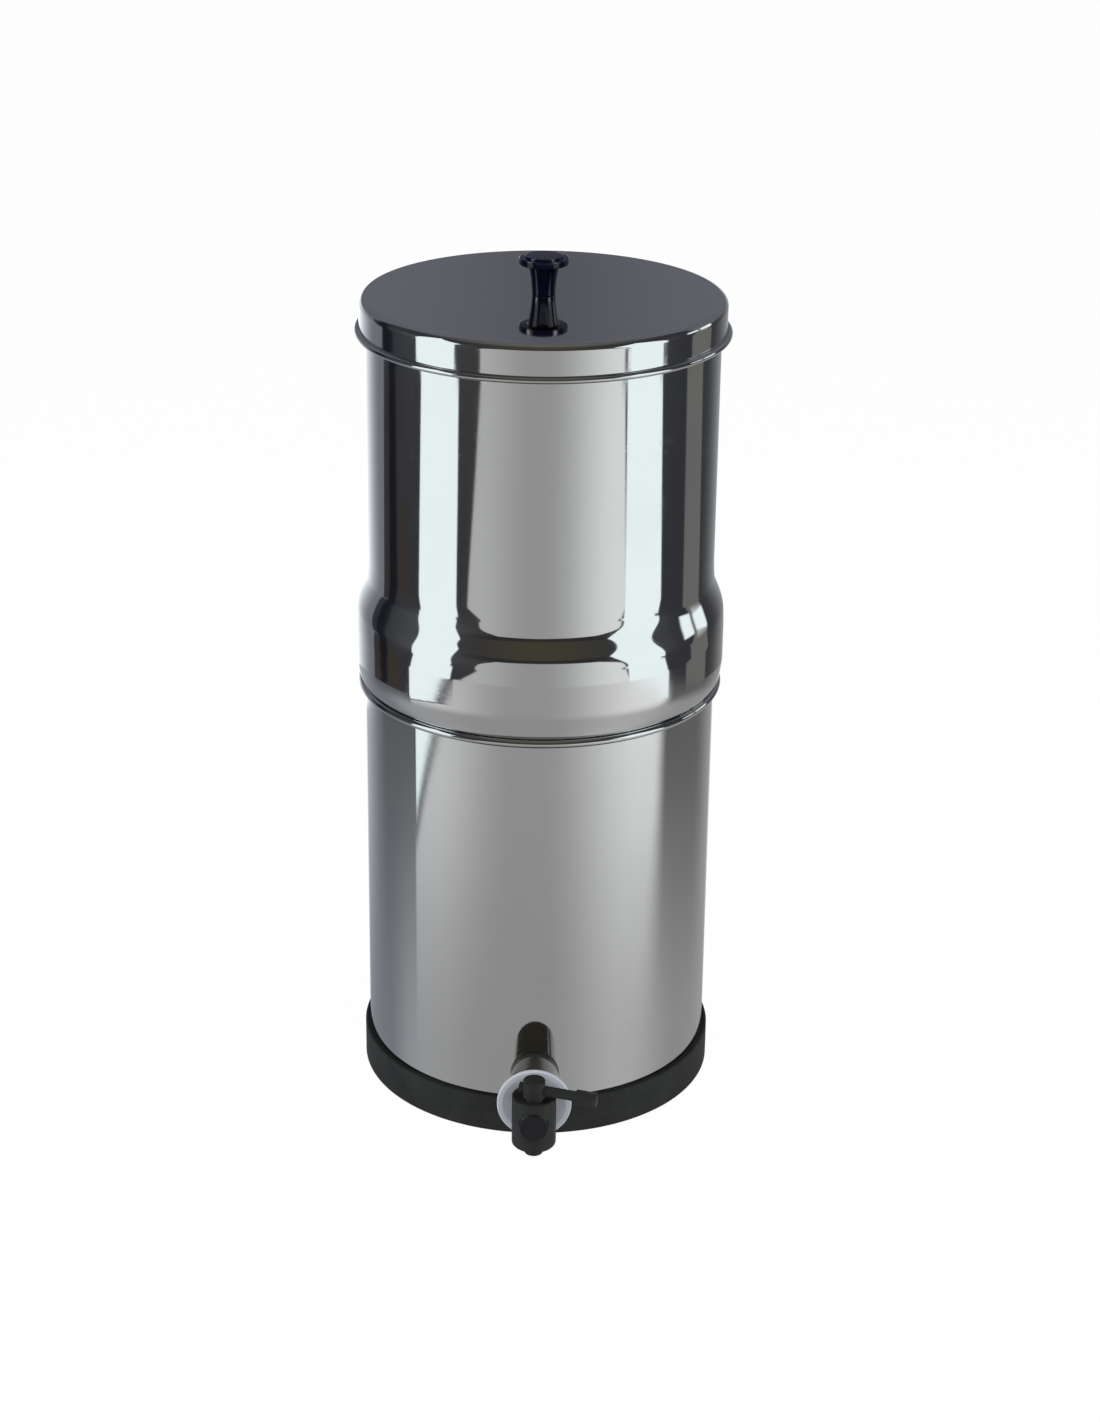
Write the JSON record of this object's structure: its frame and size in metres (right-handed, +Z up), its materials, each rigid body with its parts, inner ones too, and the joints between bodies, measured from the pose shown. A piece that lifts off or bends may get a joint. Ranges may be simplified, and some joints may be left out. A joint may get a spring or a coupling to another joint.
{
  "type": "gravity water filter with tap",
  "caption": "Tall stacked steel gravity water filter: lift-off lid with a knob, upper vessel with ceramic candles, rubber-footed lower vessel and a lever tap on a tapered sleeve.",
  "frame": {"origin": "on the vessels' axis, in the plane of the base ring's underside, which stands on the table", "axes": "+Z up along the vessels' axis, -Y to the front where the tap points, +X to the right of someone facing the tap"},
  "size_m": [0.224, 0.284, 0.5242],
  "materials": {
    "lower_steel": "polished stainless, slightly soft",
    "upper_steel": "mirror-polished stainless",
    "lid_steel": "mirror-polished stainless",
    "screw_steel": "plain stainless",
    "ring_rubber": "matt black rubber",
    "washer_rubber": "matt black rubber",
    "sleeve_black": "gloss black plastic",
    "cup_white": "satin white plastic",
    "tap_black": "satin black moulded plastic",
    "disc_black": "satin black moulded plastic",
    "plug_black": "satin black moulded plastic",
    "nut_white": "satin white nylon",
    "mount_plastic": "satin white plastic",
    "ceramic": "unglazed white ceramic",
    "knob_black": "gloss black plastic"
  },
  "bodies": {
    "base": {"base_ring": "ring_rubber", "lower_chamber": "lower_steel", "wall_ring": "washer_rubber", "tap_sleeve": "sleeve_black", "sleeve_gasket": "washer_rubber", "cup_washer": "cup_white", "tap_body": "tap_black", "bonnet": "tap_black", "front_disc": "disc_black", "inner_washer": "washer_rubber", "lock_nut": "nut_white"},
    "tap_handle": {"valve_plug": "tap_black", "upper_o_ring": "washer_rubber", "lower_o_ring": "washer_rubber", "tap_lever": "tap_black"},
    "upper_vessel": {"upper_chamber": "upper_steel", "left_candle": "ceramic", "right_candle": "ceramic", "left_candle_mount": "mount_plastic", "right_candle_mount": "mount_plastic", "left_candle_washer": "washer_rubber", "right_candle_washer": "washer_rubber", "left_wing_nut": "nut_white", "right_wing_nut": "nut_white", "front_blanking_plug": "plug_black", "back_blanking_plug": "plug_black", "front_plug_washer": "washer_rubber", "back_plug_washer": "washer_rubber", "front_plug_nut": "plug_black", "back_plug_nut": "plug_black"},
    "lid_assembly": {"lid": "lid_steel", "knob": "knob_black", "knob_cap": "knob_black", "knob_screw": "screw_steel", "knob_washer": "screw_steel"}
  },
  "joints": [
    {"name": "tap_turn", "type": "hinge", "parent": "base", "child": "tap_handle", "pos_m": [0, -0.15705, 0.0593], "axis": [0, 0, 1], "range_deg": [-72.3, 17.7]},
    {"name": "upper_lift", "type": "slide", "parent": "base", "child": "upper_vessel", "axis": [0, 0, 1], "range_m": [0, 0.06]},
    {"name": "lid_lift", "type": "slide", "parent": "upper_vessel", "child": "lid_assembly", "axis": [0, 0, 1], "range_m": [0, 0.05]}
  ]
}
